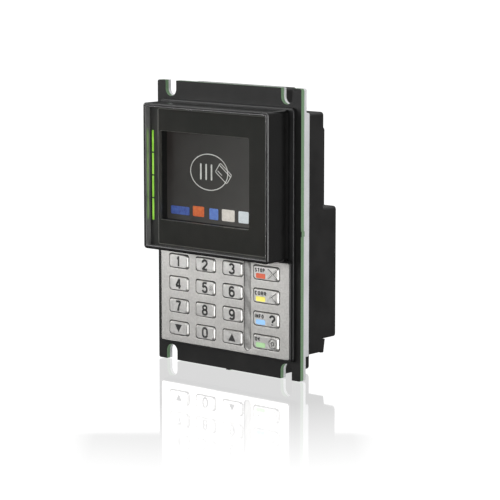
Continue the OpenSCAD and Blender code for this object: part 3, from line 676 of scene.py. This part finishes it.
def key_cap(key):
    """Blasted steel cap with a chamfered, softened edge, on its wider lip. Its side wall and lip are painted
    dark, as painted shade in the gap round the cap.
    """
    opening = OPENINGS[key]
    s = Shape()
    y_lip = y_key_back - LIP_T
    profile = [(1.12, y_key + 0.0), (0.98, y_key + 0.02), (0.84, y_key + 0.09), (0.2, y_key + 0.55),
               (0.05, y_key + 0.7), (0.0, y_key + 0.9), (0.0, y_lip)]
    x0, x1, z0, z1 = opening[:4]
    extra = 1 - BEVEL_SHARE
    loops = [s.loop(rect(x0 + extra * i, x1 - extra * i, z0, z1, KEY_R, KEY_GAP + BEVEL_SHARE * i), y)
             for i, y in profile]
    lip = [s.loop(rect(x0, x1, z0, z1, KEY_R + 0.2, i), y) for i, y in (
        (-KEY_LIP + 0.1, y_lip), (-KEY_LIP, y_lip + 0.1), (-KEY_LIP, y_key_back))]
    s.skin(loops[:-1])
    s.skin(loops[-2:] + lip, paint=1)
    s.cap([loops[0]])
    s.cap([lip[-1]], paint=1)
    return s.make(f"{key}_steel_cap", [KEY_STEEL, SHADOW_GAP], f"{key}_cap", [key], "key_steel")


def arc(cx, cz, rx, rz, start, end, steps=14):
    """Points along part of an ellipse, in degrees."""
    angles = [math.radians(start + (end - start) * k / steps) for k in range(steps + 1)]
    return [(cx + rx * math.cos(a), cz + rz * math.sin(a)) for a in angles]


def upturned(strokes):
    return [[(1 - x, 1 - z) for x, z in line] for line in strokes]


# Centre lines of plain condensed characters, in a box one unit wide and one high.
SIX = [arc(0.5, 0.31, 0.5, 0.31, 0, 360, 28),
       arc(0.5, 0.72, 0.5, 0.28, 32, 180) + [(0.0, 0.5), (0.0, 0.31)]]
GLYPHS = {
    "0": [arc(0.5, 0.7, 0.5, 0.3, 0, 180) + arc(0.5, 0.3, 0.5, 0.3, 180, 360) + [(1.0, 0.7)]],
    "1": [[(0.08, 0.76), (0.4, 0.83), (0.62, 1.0)], [(0.62, 1.05), (0.62, -0.05)]],
    "2": [arc(0.5, 0.71, 0.5, 0.29, 180, -25) + [(0.62, 0.36), (0.2, 0.15), (0.02, 0.0)],
          [(-0.06, 0.0), (1.04, 0.0)]],
    "3": [arc(0.46, 0.75, 0.46, 0.25, 165, -80), arc(0.46, 0.27, 0.54, 0.27, 85, -165)],
    "4": [[(0.74, -0.05), (0.74, 1.05)], [(0.7, 1.0), (0.02, 0.27)], [(-0.05, 0.25), (1.08, 0.25)]],
    "5": [[(0.95, 1.0), (0.14, 1.0)], [(0.17, 1.0), (0.06, 0.5)], arc(0.47, 0.32, 0.53, 0.32, 145, -160)],
    "6": SIX,
    "7": [[(-0.04, 1.0), (1.04, 1.0)], [(0.98, 1.0), (0.62, 0.5), (0.4, -0.05)]],
    "8": [arc(0.5, 0.76, 0.42, 0.24, 0, 360, 28), arc(0.5, 0.27, 0.5, 0.27, 0, 360, 28)],
    "9": upturned(SIX),
    "S": [arc(0.5, 0.75, 0.46, 0.25, 25, 270), arc(0.5, 0.25, 0.5, 0.25, 90, -155)],
    "T": [[(-0.05, 1.0), (1.05, 1.0)], [(0.5, 1.0), (0.5, -0.05)]],
    "O": [arc(0.5, 0.5, 0.5, 0.5, 0, 360, 32)],
    "P": [[(0.0, -0.05), (0.0, 1.05)], [(0.0, 1.0)] + arc(0.6, 0.73, 0.4, 0.27, 90, -90) + [(0.0, 0.46)]],
    "C": [arc(0.5, 0.5, 0.5, 0.5, 48, 312, 26)],
    "R": [[(0.0, -0.05), (0.0, 1.05)], [(0.0, 1.0)] + arc(0.6, 0.75, 0.38, 0.25, 90, -90) + [(0.0, 0.5)],
          [(0.55, 0.5), (1.0, -0.05)]],
    "I": [[(0.5, -0.05), (0.5, 1.05)]],
    "N": [[(0.0, -0.05), (0.0, 1.05)], [(0.0, 1.0), (1.0, 0.0)], [(1.0, -0.05), (1.0, 1.05)]],
    "F": [[(0.0, -0.05), (0.0, 1.05)], [(0.0, 1.0), (1.0, 1.0)], [(0.0, 0.52), (0.85, 0.52)]],
    "K": [[(0.0, -0.05), (0.0, 1.05)], [(0.95, 1.05), (0.05, 0.42)], [(0.35, 0.6), (1.0, -0.05)]],
    "?": [arc(0.5, 0.74, 0.5, 0.26, 180, -50) + [(0.58, 0.42), (0.5, 0.22)], [(0.5, 0.07), (0.5, -0.05)]],
}
NARROW = {"I": 0.34, "1": 0.72}


def inlay(s, line, width, y0, y1):
    """A flat stroke of even width along a centre line, as a closed strip."""
    left, right = [], []
    for i, (x, z) in enumerate(line):
        ax, az = line[max(i - 1, 0)]
        bx, bz = line[min(i + 1, len(line) - 1)]
        if (ax, az) == (bx, bz):
            continue
        n = math.hypot(bx - ax, bz - az)
        ox, oz = (az - bz) / n * width / 2, (bx - ax) / n * width / 2
        left.append((x + ox, z + oz))
        right.append((x - ox, z - oz))
    tops = [s.loop(side, y0) for side in (left, right)]
    feet = [s.loop(side, y1) for side in (left, right)]
    for i in range(len(left) - 1):
        a, b, c, d = tops[0][i], tops[0][i + 1], tops[1][i + 1], tops[1][i]
        e, f, g, h = feet[0][i], feet[0][i + 1], feet[1][i + 1], feet[1][i]
        for quad in ((a, b, c, d), (e, f, g, h), (a, b, f, e), (d, c, g, h)):
            s.bm.faces.new(quad)
    for i in (0, -1):
        s.bm.faces.new((tops[0][i], tops[1][i], feet[1][i], feet[0][i]))


def writing(name, words, box, stroke, body, paint, gap=0.42, rise=0.035):
    """Plain characters from centre lines, filling box (x0, x1, z0, z1) in millimetres."""
    x0, x1, z0, z1 = box
    shares = [NARROW.get(c, 1.0) for c in words]
    unit = (x1 - x0) / (sum(shares) + gap * (len(words) - 1))
    s = Shape()
    for c, share in zip(words, shares):
        w = unit * share - stroke
        for k, line in enumerate(GLYPHS[c]):
            centre = [(x0 + stroke / 2 + px * w, z0 + stroke / 2 + pz * (z1 - z0 - stroke)) for px, pz in line]
            inlay(s, centre, stroke, y_key - rise - 0.002 * k, y_key + 0.05)
        x0 += unit * (share + gap)
    return s.make(name, paint, body, slot="key_steel", weigh=False)


# A raised mark whose side walls take the second paint, painted darker as shade so its outline reads.
def raised(s, outline, height=0.38, edge=0.3, paint=0):
    s.block(outline, y_key - height, y_key + 0.05, edge, paint, wall=1)


DIGIT_W, DIGIT_H = 4.8, 6.8
CHIPS = {
    "key_stop": ("STOP", 7.6, (0.62, 0.09, 0.035), (0.7, 0.13, 0.05)),
    "key_clear": ("CORR", 8.7, (0.8, 0.72, 0.1), (0.88, 0.8, 0.16)),
    "key_info": ("INFO", 6.8, (0.24, 0.48, 0.82), (0.3, 0.55, 0.88)),
    "key_ok": ("OK", 4.2, (0.33, 0.56, 0.28), (0.4, 0.63, 0.33)),
}
for key in KEYS:
    key_cap(key)
    x0, x1, z0, z1, _ = OPENINGS[key]
    cx, cz = (x0 + x1) / 2, (z0 + z1) / 2
    body = f"{key}_cap"
    label = key[4:]
    if label.isdigit():
        w = DIGIT_W * NARROW.get(label, 1)
        writing(f"{key}_numeral", label, (cx - w / 2, cx + w / 2, cz - DIGIT_H / 2, cz + DIGIT_H / 2),
                1.35, body, INK)
        if label == "5":
            s = Shape()
            dot_x = cx + 4.6
            raised(s, lambda i: circle(dot_x, cz, 0.75 - i), 0.4, 0.35)
            # A low ring round the dot, all in darker steel as painted shade.
            s.skin([s.loop(circle(dot_x, cz, r), y) for r, y in (
                (1.3, y_key + 0.03), (1.3, y_key - 0.08), (1.6, y_key - 0.08), (1.6, y_key + 0.03))],
                closed=True, paint=1)
            s.make("key_5_locating_dot", [KEY_STEEL, SHADE_STEEL], body, slot="key_steel")
    elif label in ("up", "down"):
        s = Shape()
        up = 1 if label == "up" else -1
        tri = [(-2.8, -2.35 * up), (2.8, -2.35 * up), (0, 2.35 * up)]

        def arrow(i, t=tri, x=cx, z=cz):
            return [(x + px * (1 - i), z + pz * (1 - i)) for px, pz in t]

        s.block(arrow, y_key - 0.03, y_key + 0.05)
        s.make(f"{key}_arrow", INK, body, slot="key_steel")
    else:
        words, width, dark, light = CHIPS[key]
        left = cx - 8.2
        writing(f"{key}_word", words, (left, left + width, cz + 0.3, cz + 2.75), 0.6, body, INK, 0.22)
        s = Shape()
        s.block(lambda i: rect(left + 0.8, left + 8.0, cz - 3.25, cz - 0.35, 0.8, i), y_key - 0.06,
                y_key + 0.05, 0.05)
        tone = [0.5 * (a + b) for a, b in zip(dark, light)]
        s.make(f"{key}_colour_chip", moulded(f"{key}_chip_enamel", tone, 0.4, 0.8, 0.01, 0.08), body,
               slot="key_steel")

for key, name, strokes in (
    ("key_stop", "cross", [((2.2, 2.2), (7.9, -2.2)), ((2.2, -2.2), (7.9, 2.2))]),
    ("key_clear", "chevron", [((7.6, 2.6), (3.8, 0.0)), ((3.8, 0.0), (7.6, -2.7))]),
):
    x0, x1, z0, z1, _ = OPENINGS[key]
    cx, cz = (x0 + x1) / 2, (z0 + z1) / 2
    s = Shape()
    for (ax, az), (bx, bz) in strokes:
        raised(s, lambda i, p=(cx + ax, cz + az), q=(cx + bx, cz + bz): stadium(p, q, 1.1 - 2 * i))
    s.make(f"{key}_raised_{name}", [KEY_STEEL, SHADE_STEEL], f"{key}_cap", slot="key_steel")
x0, x1, z0, z1, _ = OPENINGS["key_ok"]
cx, cz = (x0 + x1) / 2 + 5.3, (z0 + z1) / 2
s = Shape()
# Two raised rings, all in darker steel as painted shade so they read on the cap.
for r, w in ((2.8, 0.8), (1.0, 0.6)):
    s.skin([s.loop(circle(cx, cz, q, 40), y) for q, y in (
        (r + w / 2, y_key + 0.05), (r + w / 2, y_key - 0.1), (r + w / 4, y_key - 0.34),
        (r - w / 4, y_key - 0.34), (r - w / 2, y_key - 0.1), (r - w / 2, y_key + 0.05))], closed=True)
s.make("key_ok_raised_ring", SHADE_STEEL, "key_ok_cap", slot="key_steel")
x0, x1, z0, z1, _ = OPENINGS["key_info"]
cx, cz = (x0 + x1) / 2 + 5.2, (z0 + z1) / 2
writing("key_info_mark", "?", (cx - 2.4, cx + 2.4, cz - 3.2, cz + 3.3), 1.4, "key_info_cap", INK)

# ---------------------------------------------------------------- connectors at the back

nx0, nx1, _, y_socket, nz0, nz1 = span("network_socket")
s = Shape()
for k in range(8):
    x = (nx0 + nx1) / 2 + (k - 3.5) * 1.02
    s.block(lambda i, x=x: rect(x - 0.2, x + 0.2, (nz0 + nz1) / 2 + 2.9, (nz0 + nz1) / 2 + 4.2, 0.08, i, 2),
            y_socket - 9.5, y_socket - 1.6)
s.make("network_socket_contacts", GOLD, slot="tinned_steel")
ux0, ux1, _, _, uz0, uz1 = span("usb_socket")
s = Shape()
for k in range(4):
    x = (ux0 + ux1) / 2 + (k - 1.5) * 2.4
    s.block(lambda i, x=x, z=(uz0 + uz1) / 2: rect(x - 0.55, x + 0.55, z + 0.12, z + 0.42, 0.08, i, 2),
            y_socket - 8.6, y_socket - 1.4)
s.make("usb_socket_contacts", GOLD, slot="tinned_steel")

for node, width in (("flange_board", 0.15), ("mounting_plate", 0.2), ("chassis_frame", 0.2),
                    ("rear_housing", 0.5), ("rear_box", 0.5), ("rear_cover", 0.25), ("front_body", 0.12)):
    soften(node, width)

# ---------------------------------------------------------------- studio

scene = bpy.context.scene
scene.view_settings.view_transform = "Standard"
scene.view_settings.look = "None"
FLOOR_Z = cad_low.z

p = Paint("glossy_white_floor")
reach = p.add("VectorMath", {0: p.place}, operation="LENGTH").outputs["Value"]
sideways = p.add("VectorMath", {0: p.place, 1: (0.75, 0.66, 0)}, operation="DOT_PRODUCT").outputs["Value"]
fade = p.remap(p.math("ABSOLUTE", sideways), 1.0, 0.0, 0.066, 0.09)
sheen = p.math("MULTIPLY", p.remap(reach, 0.4, 0.0, 0.1, 0.29), fade)
grain = p.remap(p.noise(40, detail=1.0), 0.03, 0.05)
mix = p.add("MixShader", {"Fac": sheen})
p.tree.links.new(p.add("Emission", {"Color": (1, 1, 1, 1), "Strength": 1.12}).outputs[0], mix.inputs[1])
p.tree.links.new(p.add("BsdfGlossy", {"Color": (1, 1, 1, 1), "Roughness": grain}).outputs[0], mix.inputs[2])
FLOOR = p.done(mix.outputs[0])

bm = bmesh.new()
bmesh.ops.create_grid(bm, x_segments=4, y_segments=4, size=20)
mesh = bpy.data.meshes.new("studio_floor")
bm.to_mesh(mesh)
bm.free()
mesh.materials.append(FLOOR)
floor = bpy.data.objects.new("studio_floor", mesh)
floor.location.z = FLOOR_Z
scene.collection.objects.link(floor)
floor.visible_glossy = False

world = bpy.data.worlds.new("studio")
scene.world = world
world.use_nodes = True
tree = world.node_tree
tree.nodes.clear()


def wnode(kind, sockets=None, **settings):
    node = tree.nodes.new("ShaderNode" + kind)
    for key, value in settings.items():
        setattr(node, key, value)
    for key, value in (sockets or {}).items():
        if isinstance(value, bpy.types.NodeSocket):
            tree.links.new(value, node.inputs[key])
        else:
            node.inputs[key].default_value = value
    return node


heading = wnode("TexCoord").outputs["Generated"]
height = wnode("SeparateXYZ", {"Vector": heading}).outputs["Z"]
across = wnode("SeparateXYZ", {"Vector": heading}).outputs["X"]
low = wnode("MapRange", {"Value": across, "From Min": -0.5, "From Max": 0.5, "To Min": 0.05, "To Max": 0.26})
rise = wnode("MapRange", {"Value": height, "From Min": 0.28, "From Max": 0.5, "To Min": 0.0, "To Max": 1.0})
level = wnode("Mix", {0: rise.outputs[0], 2: low.outputs[0], 3: 0.85}, data_type="FLOAT").outputs[0]
around = wnode("Background", {"Color": (1, 1, 1, 1), "Strength": level}).outputs[0]
seen = wnode("Background", {"Color": (1, 1, 1, 1), "Strength": 1.0}).outputs[0]
pick = wnode("MixShader", {0: wnode("LightPath").outputs["Is Camera Ray"]})
tree.links.new(around, pick.inputs[1])
tree.links.new(seen, pick.inputs[2])
wnode("OutputWorld", {"Surface": pick.outputs[0]})


def softbox(name, place, aim, width, height, power):
    data = bpy.data.lights.new(name, "AREA")
    data.shape = "RECTANGLE"
    data.size, data.size_y = width, height
    data.energy = power
    lamp = bpy.data.objects.new(name, data)
    lamp.location = place
    lamp.rotation_mode = "QUATERNION"
    lamp.rotation_quaternion = (Vector(aim) - Vector(place)).to_track_quat("-Z", "Y")
    scene.collection.objects.link(lamp)
    return lamp


softbox("edge_strip", (1.36, -1.46, -0.3), (0, 0, 0), 0.8, 1.4, 26.0)
softbox("front_left_softbox", (-1.38, -1.62, 0.36), (0, 0, 0.0), 1.6, 0.8, 24.0)

# A low white card behind the part, which only the floor's reflection sees.
p = Paint("white_card")
CARD = p.done(p.add("Emission", {"Color": (1, 1, 1, 1), "Strength": 1.1}).outputs[0])
bm = bmesh.new()
card_at, card_side = Vector((-0.33, 0.37, 0)), Vector((0.75, 0.66, 0))
corners = [card_at + card_side * u + Vector((0, 0, z)) for u, z in (
    (-0.5, FLOOR_Z), (0.5, FLOOR_Z), (0.5, 0.07), (-0.5, 0.07))]
bm.faces.new([bm.verts.new(v) for v in corners])
mesh = bpy.data.meshes.new("white_card")
bm.to_mesh(mesh)
bm.free()
mesh.materials.append(CARD)
card = bpy.data.objects.new("white_card", mesh)
scene.collection.objects.link(card)
card.visible_camera = card.visible_diffuse = card.visible_shadow = False

camera_data = bpy.data.cameras.new("camera")
camera_data.lens = 161.6
camera_data.sensor_width = 36
camera_data.clip_start = 0.05
camera_data.clip_end = 60
camera = bpy.data.objects.new("camera", camera_data)
camera.location = (0.8704, -0.9631, 0.1828)
camera.rotation_mode = "QUATERNION"
camera.rotation_quaternion = Vector((-0.6556, 0.7402, -0.1492)).to_track_quat("-Z", "Y")
scene.collection.objects.link(camera)
scene.camera = camera

bpy.context.view_layer.update()
